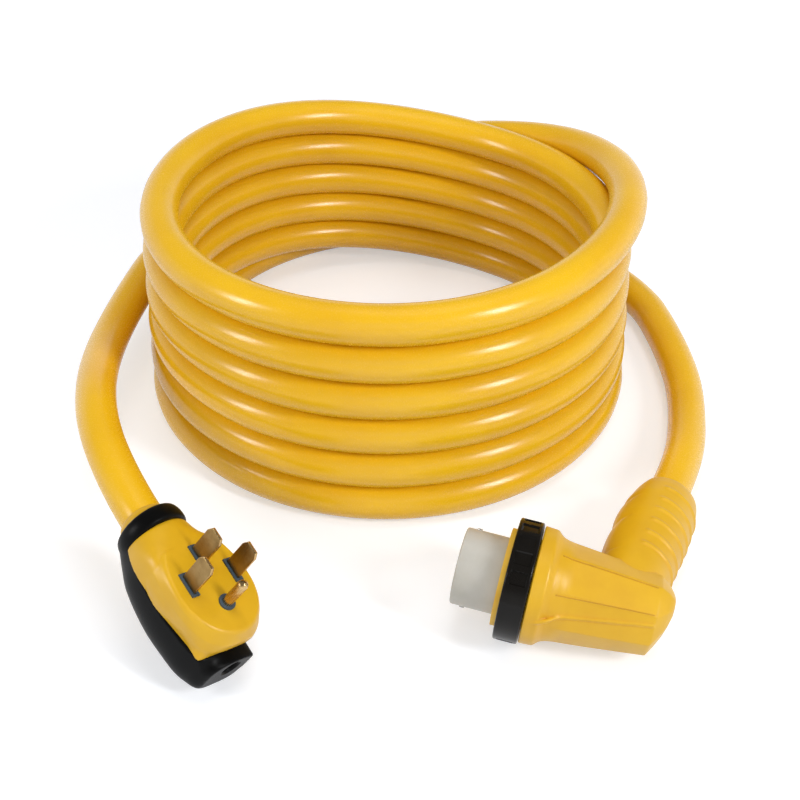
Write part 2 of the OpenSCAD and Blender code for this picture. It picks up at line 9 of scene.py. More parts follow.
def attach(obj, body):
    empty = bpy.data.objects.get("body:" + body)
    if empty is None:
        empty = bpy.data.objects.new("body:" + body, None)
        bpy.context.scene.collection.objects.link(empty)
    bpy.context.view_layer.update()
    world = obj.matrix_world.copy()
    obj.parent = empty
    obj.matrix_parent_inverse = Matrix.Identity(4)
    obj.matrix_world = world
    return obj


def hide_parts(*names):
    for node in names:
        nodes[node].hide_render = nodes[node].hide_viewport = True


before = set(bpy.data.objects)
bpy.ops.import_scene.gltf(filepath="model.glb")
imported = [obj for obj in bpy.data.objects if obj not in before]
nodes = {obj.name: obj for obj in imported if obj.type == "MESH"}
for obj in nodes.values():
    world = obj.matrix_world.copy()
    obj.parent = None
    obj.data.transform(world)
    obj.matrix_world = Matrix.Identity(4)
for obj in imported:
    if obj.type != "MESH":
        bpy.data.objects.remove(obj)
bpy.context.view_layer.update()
scene = bpy.context.scene

# Places, in millimetres as in the CAD source
MM = Matrix.Scale(0.001, 4)


def place(at, turn):
    x, y, z = (radians(a) for a in turn)
    return (
        Matrix.Translation(at)
        @ Matrix.Rotation(z, 4, "Z")
        @ Matrix.Rotation(y, 4, "Y")
        @ Matrix.Rotation(x, 4, "X")
    )


CORD_D = 27.0
BODY_DEPTH = 21.0
PLUG = place((-101, -285.5, 60), (-23.5, 25.5, -51.5))
SLEEVE = PLUG @ place((-46, -1.5, -BODY_DEPTH), (0, -99, -7))
COLLAR = PLUG @ place((-46, -1.5, -BODY_DEPTH), (0, -99, 0))
SLEEVE_LEN, SLEEVE_SEAT = 12.0, 4.0
TAIL_X = 47.0
TAIL = PLUG @ place((TAIL_X, 0, -BODY_DEPTH - 6), (0, 90, 0))
CONNECTOR = place((81, -267, 38.5), (0, -5.5, 165))
ARM = CONNECTOR @ place((-62, 0, 0), (93.5, 0, -9))
ARM_LEN, JACKET_FROM = 113.0, 74.0


# Camera, fitted to the photograph, in metres
CAMERA_AT, LOOK_AT = (0.0091, -0.8068, 0.5997), (0.0091, 0, -0.032)
SENSOR, LENS = 36, 57.41


def aim(obj, at, target):
    obj.location = at
    obj.rotation_euler = (Vector(target) - Vector(at)).to_track_quat("-Z", "Y").to_euler()
    scene.collection.objects.link(obj)


camera = bpy.data.objects.new("camera", bpy.data.cameras.new("camera"))
aim(camera, CAMERA_AT, LOOK_AT)
camera.data.sensor_width = SENSOR
camera.data.lens = LENS
camera.data.clip_start = 0.01
scene.camera = camera


# Materials
def nodes_of(name):
    mat = bpy.data.materials.new(name)
    mat.use_nodes = True
    tree = mat.node_tree
    shader = tree.nodes["Principled BSDF"]
    return mat, tree, shader


def add(tree, kind, **values):
    node = tree.nodes.new(kind)
    for key, value in values.items():
        if hasattr(node, key):
            setattr(node, key, value)
        else:
            node.inputs[key.replace("_", " ")].default_value = value
    return node


def surface(name, colour, shade, rough, relief, grain=900.0, mottle=22.0, metallic=0.0,
            specular=0.5, turn=None, stretch=(1, 1, 1), painted_crevice_shade=None, soft=0.0):
    """A procedural finish: patchy colour, uneven gloss and fine relief, at real scale, with painted
    shade in hollows where a crevice colour is given.
    """
    mat, tree, shader = nodes_of(name)
    link = tree.links.new
    where = add(tree, "ShaderNodeTexCoord").outputs["Object"]
    if turn is not None:
        rotate = add(tree, "ShaderNodeMapping")
        rotate.inputs["Rotation"].default_value = turn
        link(where, rotate.inputs["Vector"])
        where = rotate.outputs["Vector"]
    scale = add(tree, "ShaderNodeMapping")
    scale.inputs["Scale"].default_value = stretch
    link(where, scale.inputs["Vector"])
    patches = add(tree, "ShaderNodeTexNoise", Scale=mottle, Detail=4.0, Roughness=0.6)
    link(where, patches.inputs["Vector"])
    fine = add(tree, "ShaderNodeTexNoise", Scale=grain, Detail=5.0, Roughness=0.65)
    link(scale.outputs["Vector"], fine.inputs["Vector"])
    ramp = add(tree, "ShaderNodeValToRGB")
    ramp.color_ramp.elements[0].position = 0.32
    ramp.color_ramp.elements[0].color = (*shade, 1)
    ramp.color_ramp.elements[1].position = 0.62
    ramp.color_ramp.elements[1].color = (*colour, 1)
    link(patches.outputs["Fac"], ramp.inputs["Fac"])
    tint = ramp.outputs["Color"]
    if painted_crevice_shade:
        # Painted shade: where pointiness is low, in hollows and creases, the colour is mixed towards
        # a darker one.
        edge = add(tree, "ShaderNodeNewGeometry").outputs["Pointiness"]
        crevice_shade_mask = add(tree, "ShaderNodeMapRange", From_Min=0.44, From_Max=0.5, To_Min=0.0, To_Max=1.0)
        link(edge, crevice_shade_mask.inputs["Value"])
        blend = add(tree, "ShaderNodeMix", data_type="RGBA")
        blend.inputs["A"].default_value = (*painted_crevice_shade, 1)
        link(crevice_shade_mask.outputs["Result"], blend.inputs["Factor"])
        link(tint, blend.inputs["B"])
        tint = blend.outputs["Result"]
    link(tint, shader.inputs["Base Color"])
    gloss = add(tree, "ShaderNodeMapRange", From_Min=0.3, From_Max=0.7,
                To_Min=rough - 0.07, To_Max=rough + 0.07)
    link(fine.outputs["Fac"], gloss.inputs["Value"])
    link(gloss.outputs["Result"], shader.inputs["Roughness"])
    bump = add(tree, "ShaderNodeBump", Strength=relief, Distance=0.0002)
    link(fine.outputs["Fac"], bump.inputs["Height"])
    link(bump.outputs["Normal"], shader.inputs["Normal"])
    shader.inputs["Metallic"].default_value = metallic
    shader.inputs["Specular IOR Level"].default_value = specular
    if soft:
        shader.inputs["Subsurface Weight"].default_value = soft
        shader.inputs["Subsurface Radius"].default_value = (0.004, 0.003, 0.002)
        shader.inputs["Subsurface Scale"].default_value = 1.0
    return mat


plug_axes = PLUG.to_3x3().inverted().to_euler()
jacket = surface("jacket", (0.82, 0.475, 0.010), (0.77, 0.425, 0.009), 0.25, 0.05, 1100, 14)
# The yellow rubber gets painted shade in its hollows and creases.
yellow = surface("yellow", (0.70, 0.40, 0.009), (0.65, 0.355, 0.008), 0.39, 0.16, 1500, 30,
                 painted_crevice_shade=(0.62, 0.27, 0.005))
# A darker yellow for the boot's seams: painted shade, as of a groove.
painted_seam_shade = surface("painted_seam_shade", (0.60, 0.31, 0.007), (0.53, 0.26, 0.006), 0.4, 0.16, 1500, 30)
seal = surface("seal", (0.86, 0.52, 0.05), (0.78, 0.43, 0.03), 0.5, 0.2, 1300, 40)
black = surface("black", (0.003, 0.003, 0.003), (0.002, 0.002, 0.002), 0.36, 0.2, 1600, 35,
                specular=0.08)
ring_black = surface("ring_black", (0.006, 0.005, 0.004), (0.004, 0.003, 0.002), 0.2, 0.08,
                     1400, 45, specular=0.18)
nylon = surface("nylon", (0.50, 0.48, 0.43), (0.42, 0.40, 0.34), 0.34, 0.12, 1200, 30,
                soft=0.15)
slate = surface("slate", (0.055, 0.085, 0.115), (0.035, 0.058, 0.08), 0.5, 0.2, 1500, 60)
brass = surface("brass", (0.33, 0.22, 0.09), (0.23, 0.145, 0.055), 0.42, 0.6, 1500, 120, 1.0,
                turn=plug_axes, stretch=(1, 1, 0.06))
# A lighter brass for the blades' edges and the ground pin: partly bare cut brass, partly painted
# highlight.
brass_bare_and_sheen = surface("brass_bare_and_sheen", (0.62, 0.43, 0.20), (0.48, 0.31, 0.13), 0.26, 0.25,
                     1500, 160, 1.0, turn=plug_axes, stretch=(1, 1, 0.1))
steel = surface("steel", (0.55, 0.53, 0.50), (0.42, 0.40, 0.37), 0.3, 0.2, 1500, 200, 1.0)
dark = surface("dark", (0.05, 0.05, 0.052), (0.035, 0.035, 0.037), 0.5, 0.2)
cores = {
    "neutral": surface("core_white", (0.82, 0.82, 0.79), (0.74, 0.73, 0.70), 0.45, 0.1),
    "x": surface("core_black", (0.012, 0.012, 0.012), (0.008, 0.008, 0.008), 0.45, 0.1),
    "y": surface("core_red", (0.50, 0.018, 0.012), (0.40, 0.012, 0.010), 0.45, 0.1),
    "ground": surface("core_green", (0.012, 0.17, 0.03), (0.010, 0.13, 0.02), 0.45, 0.1),
}


# Mesh tools
def smooth(t):
    t = min(max(t, 0.0), 1.0)
    return t * t * (3 - 2 * t)


def along(points, x):
    """The value at x on a line through (x, value) points, which run either way."""
    if points[0][0] > points[-1][0]:
        points = points[::-1]
    if x <= points[0][0]:
        return points[0][1]
    for (a, u), (b, v) in zip(points, points[1:]):
        if x <= b:
            return u + (v - u) * (x - a) / (b - a)
    return points[-1][1]


def loft(rings):
    """A closed shell over rings of points."""
    n, m = len(rings[0]), len(rings)
    verts = [v for ring in rings for v in ring]
    faces = [
        (j * n + i, j * n + (i + 1) % n, (j + 1) * n + (i + 1) % n, (j + 1) * n + i)
        for j in range(m - 1)
        for i in range(n)
    ]
    faces.append(tuple(range(n)))
    faces.append(tuple(range((m - 1) * n, m * n)))
    return verts, faces


def steps(a, b, step):
    count = max(1, round(abs(b - a) / step))
    return [a + (b - a) * i / count for i in range(count + 1)]


def circle(height, radius, count, axis):
    """Points round an axis, of radius(angle). About x, angle 0 is up and 90 is +y."""
    ring = []
    for i in range(count):
        a = 2 * pi * i / count
        r = radius(a)
        ring.append((height, r * sin(a), r * cos(a)) if axis == "x"
                    else (r * cos(a), r * sin(a), height))
    return ring


def turned(heights, radius, count, axis="z"):
    """A shell round an axis, of radius(height, angle)."""
    return loft([circle(h, lambda a: radius(h, a), count, axis) for h in heights])


def lathe(profile, count=128, axis="x"):
    """A shell from (height, radius) points, which start and end near the axis."""
    return loft([circle(h, lambda a: r, count, axis) for h, r in profile])


def rounded(corners, radius, parts=5):
    """An open line of points with each inner corner rounded."""
    out = [Vector(corners[0])]
    for before, corner, after in zip(corners, corners[1:], corners[2:]):
        before, corner, after = Vector(before), Vector(corner), Vector(after)
        a, b = before - corner, after - corner
        reach = min(radius, a.length * 0.49, b.length * 0.49)
        start, end = corner + a.normalized() * reach, corner + b.normalized() * reach
        for i in range(parts + 1):
            t = i / parts
            out.append(start * (1 - t) ** 2 + corner * (2 * t * (1 - t)) + end * t * t)
    out.append(Vector(corners[-1]))
    return out


def pipe(points, radius, sides=10):
    """A thin tube along points."""
    rings = []
    for i, p in enumerate(points):
        way = (points[min(i + 1, len(points) - 1)] - points[max(i - 1, 0)]).normalized()
        side = way.orthogonal().normalized() if i == 0 else (side - way * side.dot(way)).normalized()
        up = way.cross(side)
        r = radius(i / (len(points) - 1)) if callable(radius) else radius
        rings.append([p + r * (cos(2 * pi * k / sides) * side + sin(2 * pi * k / sides) * up)
                      for k in range(sides)])
    return loft(rings)


def moved(shell, matrix):
    return [matrix @ Vector(p) for p in shell[0]], shell[1]


def build(name, shells, matrix, material):
    """One object from shells in a millimetre frame."""
    mesh = bpy.data.meshes.new(name)
    verts, faces = [], []
    for v, f in shells:
        start = len(verts)
        verts += [MM @ (matrix @ Vector(p)) for p in v]
        faces += [tuple(i + start for i in face) for face in f]
    mesh.from_pydata(verts, [], faces)
    work = bmesh.new()
    work.from_mesh(mesh)
    bmesh.ops.recalc_face_normals(work, faces=work.faces)
    work.to_mesh(mesh)
    work.free()
    mesh.polygons.foreach_set("use_smooth", [True] * len(mesh.polygons))
    mesh.materials.append(material)
    obj = bpy.data.objects.new(name, mesh)
    scene.collection.objects.link(obj)
    return obj


def baked(obj):
    """Applies the modifiers of an object."""
    graph = bpy.context.evaluated_depsgraph_get()
    mesh = bpy.data.meshes.new_from_object(obj.evaluated_get(graph))
    mesh.polygons.foreach_set("use_smooth", [True] * len(mesh.polygons))
    obj.modifiers.clear()
    old = obj.data
    obj.data = mesh
    bpy.data.meshes.remove(old)
    return obj


def moulded(name, shells, matrix, material, voxel, passes):
    """Overlapping shells made into one skin with soft corners."""
    obj = build(name, shells, matrix, material)
    remesh = obj.modifiers.new("skin", "REMESH")
    remesh.mode = "VOXEL"
    remesh.voxel_size = voxel * 0.001
    relax = obj.modifiers.new("soften", "SMOOTH")
    relax.factor = 0.5
    relax.iterations = passes
    baked(obj)
    obj.data.materials.clear()
    obj.data.materials.append(material)
    return obj


def carved(obj, shells, matrix):
    """Cuts shells out of an object."""
    tool = build("tool", shells, matrix, obj.data.materials[0])
    cut = obj.modifiers.new("cut", "BOOLEAN")
    cut.operation = "DIFFERENCE"
    cut.solver = "EXACT"
    cut.use_self = True
    cut.object = tool
    baked(obj)
    bpy.data.objects.remove(tool)
    return obj


def joined(obj, shells, matrix, material):
    """Adds shells to an object as they are, in a material of their own."""
    extra = build("extra", shells, matrix, material)
    obj.data.materials.append(material)
    last_slot = len(obj.data.materials) - 1
    extra.data.polygons.foreach_set("material_index", [last_slot] * len(extra.data.polygons))
    work = bmesh.new()
    work.from_mesh(obj.data)
    work.from_mesh(extra.data)
    work.to_mesh(obj.data)
    work.free()
    bpy.data.objects.remove(extra)
    return obj


def crisp(obj, angle=35):
    """Keeps edges sharper than an angle when the rest is shaded smooth."""
    obj.data.set_sharp_from_angle(angle=radians(angle))
    return obj


def settle(obj, slot, *stands_for, body="cord"):
    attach(obj, body)
    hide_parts(*stands_for)
    return obj


# Cord: the same route as in the CAD source, resting on the floor
PITCH = CORD_D + 0.8
TURNS = 6
TOP_R, BOTTOM_R = 161.0, 167.5
GROW = (BOTTOM_R - TOP_R) / (TURNS - 1)
DROP = 0.7
CROSS_START, CROSS_END, RAMP_END = 45.0, -50.0, -172.0
CROSS_GAP = 0.1
RAMP_R, RAMP_HEIGHT, RAMP_EASE = TOP_R + 37, 55.0, 1.08
SPREAD, SPREAD_FROM = 26, 0.45
COIL_END = TURNS * 360 - 4
REST = CORD_D / 2


def turn_spot(p):
    """Radius and height of the coil, p degrees from the start of its top turn."""
    n = min(floor(p / 360), TURNS - 1)
    q = max(p / 180 - 2 * n - 1, 0)
    quarter = radians(90 * smooth(q / DROP))
    if n == TURNS - 1:
        out = SPREAD * smooth((q - SPREAD_FROM) * 2)
        return Vector((BOTTOM_R + PITCH * sin(quarter) + out, REST))
    return Vector((TOP_R + GROW * (n + smooth(q)), REST + PITCH * (TURNS - 2 - n + cos(quarter))))


def coil_spot(p):
    """As turn_spot, with the strand that crosses the coil and comes down behind it."""
    if p > CROSS_START:
        return turn_spot(p)
    if p >= CROSS_END:
        u = (CROSS_START - p) / (CROSS_START - CROSS_END)
        lean = radians(90 * (1 - cos(radians(90 * u))))
        return turn_spot(p + 360) + Vector(
            ((PITCH + CROSS_GAP) * sin(lean) - GROW * cos(lean), PITCH * cos(lean)))
    start = coil_spot(CROSS_END)
    run = CROSS_END - RAMP_END
    u = (CROSS_END - p) / run
    fall = PITCH * pi * pi / 4 / (CROSS_START - CROSS_END) * run
    return Vector((
        start.x + (RAMP_R - start.x) * smooth(RAMP_EASE * u),
        (2 * u**3 - 3 * u**2 + 1) * start.y - (u**3 - 2 * u**2 + u) * fall
        + (3 * u**2 - 2 * u**3) * RAMP_HEIGHT))


def coil_point(p):
    r, z = coil_spot(p)
    return Vector((r * cos(radians(p)), -r * sin(radians(p)), z))


def flat_way(a, b):
    way = b - a
    way.z = 0
    return way.normalized()


def through(points, step):
    """A smooth line through points, sampled about every step."""
    out = []
    ends = [2 * points[0] - points[1], *points, 2 * points[-1] - points[-2]]
    for a, b, c, d in zip(ends, ends[1:], ends[2:], ends[3:]):
        k1 = sqrt((b - a).length)
        k2 = k1 + sqrt((c - b).length)
        k3 = k2 + sqrt((d - c).length)
        count = max(1, round((c - b).length / step))
        for i in range(count):
            t = k1 + (k2 - k1) * i / count
            p1 = a * ((k1 - t) / k1) + b * (t / k1)
            p2 = b * ((k2 - t) / (k2 - k1)) + c * ((t - k1) / (k2 - k1))
            p3 = c * ((k3 - t) / (k3 - k2)) + d * ((t - k2) / (k3 - k2))
            q1 = p1 * ((k2 - t) / k2) + p2 * (t / k2)
            q2 = p2 * ((k3 - t) / (k3 - k1)) + p3 * ((t - k1) / (k3 - k1))
            out.append(q1 * ((k2 - t) / (k2 - k1)) + q2 * ((t - k1) / (k2 - k1)))
    return [*out, points[-1]]


plug_exit = SLEEVE @ Vector((0, 0, SLEEVE_LEN))
plug_way = SLEEVE.to_3x3() @ Vector((0, 0, 1))
arm_exit = ARM @ Vector((0, 0, ARM_LEN))
arm_way = ARM.to_3x3() @ Vector((0, 0, 1))
first, last = coil_point(RAMP_END), coil_point(COIL_END)
first_way = flat_way(coil_point(RAMP_END + 2), first)
last_way = flat_way(coil_point(COIL_END - 2), last)
plug_route = [(-182, -182, 80), (-192, -148, 79), (-198, -117, 74), (-202, -89, 66),
              (-205, -58, 59)]
connector_route = [(216, -97, 14.5), (221, -69, 13.5)]
route = [SLEEVE @ Vector((0, 0, SLEEVE_SEAT)), plug_exit, plug_exit + CORD_D * plug_way]
route += [Vector(p) for p in plug_route]
route += [first + 2 * CORD_D * first_way, first + CORD_D * first_way]
route += [coil_point(p) for p in steps(RAMP_END, COIL_END, 3)]
route += [last + CORD_D * last_way, last + 2 * CORD_D * last_way]
route += [Vector(p) for p in reversed(connector_route)]
route += [arm_exit + 2.3 * CORD_D * arm_way, arm_exit, ARM @ Vector((0, 0, JACKET_FROM))]
line = through(route, 4.0)
reach = [0.0]
for a, b in zip(line, line[1:]):
    reach.append(reach[-1] + (b - a).length)

# Each lead is eased between its straight end and the coil
PLUG_LEAD, CONNECTOR_LEAD = 330.0, 290.0
EASE_FADE, EASE_PASSES = 30, 90
leads = ((SLEEVE_LEN - SLEEVE_SEAT, PLUG_LEAD),
         (reach[-1] - CONNECTOR_LEAD, reach[-1] - (ARM_LEN - JACKET_FROM)))
ease = [max(smooth((at - start) / EASE_FADE) * smooth((end - at) / EASE_FADE)
            for start, end in leads) for at in reach]
for _ in range(EASE_PASSES):
    middles = [line[0], *((a + c) / 2 for a, c in zip(line, line[2:])), line[-1]]
    line = [p.lerp(m, 0.5 * w) for p, m, w in zip(line, middles, ease)]
line = [p * 0.001 for p in line]

cord_curve = bpy.data.curves.new("cord", "CURVE")
cord_curve.dimensions = "3D"
cord_curve.bevel_depth = CORD_D / 2000
cord_curve.bevel_resolution = 7
cord_curve.use_fill_caps = True
spline = cord_curve.splines.new("POLY")
spline.points.add(len(line) - 1)
for point, p in zip(spline.points, line):
    point.co = (*p, 1)
spline.use_smooth = True
cord_curve.materials.append(jacket)
cord = bpy.data.objects.new("cord", cord_curve)
scene.collection.objects.link(cord)
settle(cord, "cord_jacket", "plug_jacket_end", "plug_lead", "cord_coil", "connector_lead",
       "connector_jacket_end")


# Plug
def power(v, e):
    return abs(v) ** e * (1 if v >= 0 else -1)


FACE_L, FACE_W, FACE_AT = 64.0, 57.0, 5.0
BODY_L, BODY_W, BODY_AT = FACE_L + 11, FACE_W + 2.5, 2.0
NECK_END, NECK_REACH = -24.5, 1.32
NECK_SQUARE, TAIL_SQUARE = 0.8, 0.5
TAPER_FROM, TAPER_RUN = -6, 36
# Height, middle, length, width, squareness and taper towards the tail
DOME = [
    (-BODY_DEPTH, BODY_AT, BODY_L - 3.4, BODY_W - 2, 0.12, 0.18),
    (-19.2, BODY_AT + 0.2, BODY_L - 3.6, BODY_W - 1.5, 0.25, 0.18),
    (-17.0, BODY_AT + 0.5, BODY_L - 2.6, BODY_W - 0.4, 0.42, 0.16),
    (-14.0, BODY_AT + 1, BODY_L - 1, BODY_W, 0.55, 0.12),
    (-8.0, BODY_AT + 2, BODY_L - 2, BODY_W - 0.5, 0.80, 0.03),
    (-3.0, FACE_AT - 0.3, FACE_L + 3, FACE_W + 1, 0.95, 0.0),
    (-1.2, FACE_AT, FACE_L + 1, FACE_W, 1.0, 0.0),
    (0.0, FACE_AT, FACE_L - 2, FACE_W - 3, 1.0, 0.0),
]


def dome_ring(z, count=128):
    """A level section of the dome, which ends flat in the neck."""
    shift, length, width, square, taper = (
        along([(row[0], row[k]) for row in DOME], z) for k in range(1, 6))
    ring = []
    for i in range(count):
        c, d = cos(2 * pi * i / count), sin(2 * pi * i / count)
        to_tail = c > 0
        bend = square
        if not to_tail or d >= 0:
            bend = max(square, TAIL_SQUARE if to_tail else NECK_SQUARE)
        x = shift + length / 2 * power(c, bend) * (1 if to_tail else NECK_REACH)
        y = width / 2 * power(d, bend) * (1 - taper * smooth((x - TAPER_FROM) / TAPER_RUN))
        ring.append((max(x, NECK_END), y, z))
    return ring


def row_at(rows, x):
    """The values at x of rows that start with their place, on smooth curves."""
    k = max(i for i, row in enumerate(rows[:-1]) if i == 0 or row[0] <= x)
    t = min(max((x - rows[k][0]) / (rows[k + 1][0] - rows[k][0]), 0), 1)
    out = []
    for c in range(1, len(rows[0])):
        slopes = []
        for i in (k, k + 1):
            a, b = rows[max(i - 1, 0)], rows[min(i + 1, len(rows) - 1)]
            slopes.append((b[c] - a[c]) / (b[0] - a[0]) * (rows[k + 1][0] - rows[k][0]))
        out.append((2 * t**3 - 3 * t**2 + 1) * rows[k][c] + (t**3 - 2 * t**2 + t) * slopes[0]
                   + (3 * t**2 - 2 * t**3) * rows[k + 1][c] + (t**3 - t**2) * slopes[1])
    return out


SINK = 1.2
# Place, width, height, and near and far squareness of the neck
NECK = [
    (-50, 35.0, 17.0, 1.0, 1.0), (-46, 40.0, 18.2, 0.96, 1.08), (-42, 46.2, 19.2, 0.88, 1.16),
    (-38, 49.8, 19.9, 0.79, 1.18), (-33.3, 53.0, 20.4, 0.66, 1.04), (-29, 54.7, 20.75, 0.54, 0.76),
    (-24.5, 55.7, 20.95, 0.44, 0.46), (-18, 56.3, 20.8, 0.40, 0.43), (-10, 55.6, 20.2, 0.42, 0.45),
]
NECK_FROM, NECK_TO = -47, -10


def upper_ring(x, width, height, near, far, count=64):
    """A section of the neck, from just below the parting plane."""
    ring = [(x, width / 2, -SINK - BODY_DEPTH)]
    for i in range(count + 1):
        c, d = cos(pi * i / count), sin(pi * i / count)
        square = near if c < 0 else far
        ring.append((x, width / 2 * power(c, square), height * power(d, square) - BODY_DEPTH))
    return [*ring, (x, -width / 2, -SINK - BODY_DEPTH)]


foot = [(x, y, -BODY_DEPTH - SINK) for x, y, z in dome_ring(-BODY_DEPTH)]
dome_heights = (-21, -20, -19, -18, -17, -15.5, -14, -11, -8, -5.5, -3, -2, -1.2, -0.6, 0)
dome = loft([foot] + [dome_ring(z) for z in dome_heights])
neck = loft([upper_ring(x, *row_at(NECK, x)) for x in steps(NECK_FROM, NECK_TO, 1.0)])
plug_body = moulded("plug_body_skin", [dome, neck], PLUG, yellow, 0.6, 7)
settle(plug_body, "yellow_rubber", "plug_body")

# Place, near and far half widths, depth, and near and far squareness of the grip
GRIP = [
    (-52, 21.0, 19.5, 20.0, 0.80, 0.80), (-46, 22.2, 20.5, 21.6, 0.76, 0.76),
    (-40, 23.8, 22.0, 23.8, 0.70, 0.72), (-25, 27.8, 26.8, 28.4, 0.65, 0.66),
    (0, 28.6, 28.4, 31.0, 0.56, 0.62), (20, 26.4, 26.0, 30.8, 0.50, 0.62),
    (29, 24.8, 22.0, 30.2, 0.46, 0.64), (34, 23.4, 18.0, 29.6, 0.45, 0.66),
    (38, 22.0, 15.6, 28.5, 0.45, 0.70), (42, 20.0, 15.2, 26.8, 0.45, 0.75),
    (45.5, 18.0, 15.0, 25.2, 0.46, 0.72), (TAIL_X, 16.4, 13.5, 22.8, 0.50, 0.66),
]
GRIP_FROM, TAIL_FROM, GRIP_STEP = -46, 37.5, 1.2
TAIL_DROP, DROP_FROM, DROP_RUN = 8, 37, 6
TAIL_W, TAIL_RISE, TAIL_ROUND = 30.0, 3.2, 0.8
TAIL_FOOT, TAIL_INSET = -34, 2


def tail_drop(x):
    """How far the grip's edge falls below the parting plane towards the tail."""
    return TAIL_DROP * smooth((x - DROP_FROM) / DROP_RUN)


def lower_ring(x, near, far, depth, square_near, square_far, count=64):
    """A section of the grip, from its near edge under the plug to its far edge."""
    drop = tail_drop(x)
    ring = []
    for i in range(count + 1):
        c, d = -cos(pi * i / count), sin(pi * i / count)
        half, square = (near, square_near) if c < 0 else (far, square_far)
        ring.append((x, half * power(c, square), -drop - (depth - drop) * d**square - BODY_DEPTH))
    return ring


def tail_ring(x):
    """A section of the tail's top, low and round on the near side."""
    near, drop = row_at(GRIP, x)[0], tail_drop(x)
    arch = []
    for t in range(0, 181, 6):
        c, d = cos(radians(t)), sin(radians(t))
        if c > 0:
            arch.append((x, TAIL_W / 2 * c, TAIL_RISE * d - BODY_DEPTH))
        else:
            arch.append((x, near * c, (TAIL_RISE + drop) * d**TAIL_ROUND - drop - BODY_DEPTH))
    return [*arch, (x, -near + TAIL_INSET, TAIL_FOOT), (x, TAIL_W / 2, TAIL_FOOT)]


COLLAR_FROM, COLLAR_TO = -5.0, 7.0
COLLAR_R, COLLAR_BORE, COLLAR_CORE = 22.4, 17.2, 15.0
HOLE_R, HOLE_DEEP = 5.5, 14
shell = loft([lower_ring(x, *row_at(GRIP, x)) for x in steps(GRIP_FROM, TAIL_X, GRIP_STEP)])
tail = loft([tail_ring(x) for x in steps(TAIL_FROM, TAIL_X, GRIP_STEP)])
collar_line = [(COLLAR_FROM, COLLAR_BORE), (COLLAR_FROM, 21.6), (1.4, COLLAR_R),
               (COLLAR_TO, 20.8), (COLLAR_TO, COLLAR_BORE)]
collar = lathe([(COLLAR_FROM, COLLAR_CORE), *rounded(collar_line, 4.2, 8),
                (COLLAR_TO, COLLAR_CORE)], axis="z")
grip = moulded("plug_grip_skin", [moved(shell, PLUG), moved(tail, PLUG), moved(collar, COLLAR)],
               Matrix.Identity(4), black, 0.7, 7)
hole = [(-HOLE_DEEP, HOLE_R), (-2.0, HOLE_R), (-1.2, HOLE_R + 0.15), (-0.5, HOLE_R + 0.6),
        (0.0, HOLE_R + 1.4), (3, HOLE_R + 4.5)]
carved(grip, [lathe(hole, 64, axis="z")], TAIL)
settle(grip, "black_rubber", "plug_grip")

BLADE_L, BLADE_W, BLADE_T, BLADE_ROOT = 24.5, 12.5, 2.0, 8
TIP_L, TIP_IN = 4, 2
BLADE_EDGE = 0.28
LINE_Y, NEUTRAL_X, PIN_X = 17.5, -15.0, 17.5
half = BLADE_W / 2
blade_side = [(-half, -BLADE_ROOT), (half, -BLADE_ROOT), (half, BLADE_L - TIP_L),
              (half - TIP_IN, BLADE_L), (TIP_IN - half, BLADE_L), (-half, BLADE_L - TIP_L)]
across = (PLUG.to_3x3() @ Vector((0, 1, 0))).normalized()
for name, at in (("neutral_blade", (NEUTRAL_X, 0.0)), ("line_blade_x", (0.0, -LINE_Y)),
                 ("line_blade_y", (0.0, LINE_Y))):
    blade = build(name + "_skin", [loft([[(at[0] + x, at[1] + y, z) for x, z in blade_side]
                                         for y in (-BLADE_T / 2, BLADE_T / 2)])], PLUG, brass)
    blade.data.materials.append(brass_bare_and_sheen)
    work = bmesh.new()
    work.from_mesh(blade.data)
    bmesh.ops.bevel(work, geom=work.edges[:], offset=BLADE_EDGE * 0.001, segments=3,
                    profile=0.5, affect="EDGES", material=1)
    # Broad faces take the darker brass. Edges and bevels take the lighter one, which is partly bare
    # cut brass and partly painted highlight.
    for face in work.faces:
        face.material_index = 0 if abs(face.normal.dot(across)) > 0.98 else 1
    work.to_mesh(blade.data)
    work.free()
    settle(crisp(blade, 40), "brass", name)

PIN = PLUG @ Matrix.Translation((PIN_X, 0, 0))
PIN_R, PIN_L = 3.25, 22.0
SLIT_W, SLIT_DEEP, SLIT_TURN = 0.6, 2.4, 35
tip = [(PIN_L - PIN_R + PIN_R * sin(radians(t)), PIN_R * cos(radians(t))) for t in range(0, 88, 6)]
pin = build("ground_pin_skin", [lathe(
    [(-BLADE_ROOT, 0.2), (-BLADE_ROOT, PIN_R), *tip, (PIN_L, 0.1)], 64, "z")], PIN, brass_bare_and_sheen)
slit = [(-4, -SLIT_W / 2), (4, -SLIT_W / 2), (4, SLIT_W / 2), (-4, SLIT_W / 2)]
carved(pin, [loft([[(x, y, z) for x, y in slit] for z in (PIN_L - SLIT_DEEP, PIN_L + 2)])],
       PIN @ Matrix.Rotation(radians(SLIT_TURN), 4, "Z"))
settle(crisp(pin, 40), "brass", "ground_pin")

SLEEVE_R, SLEEVE_BORE, SLEEVE_BACK = 17.0, 13.7, -2.5
sleeve_line = [(SLEEVE_BACK, SLEEVE_BORE), (SLEEVE_BACK, SLEEVE_R), (8.5, SLEEVE_R),
               (11.2, 15.6), (SLEEVE_LEN, 14.3), (SLEEVE_LEN, SLEEVE_BORE)]
sleeve = build("plug_sleeve_skin", [lathe(
    [*rounded(sleeve_line, 1.6), (SLEEVE_BACK, SLEEVE_BORE)], 128, "z")], SLEEVE, yellow)
settle(sleeve, "yellow_rubber", "plug_sleeve")

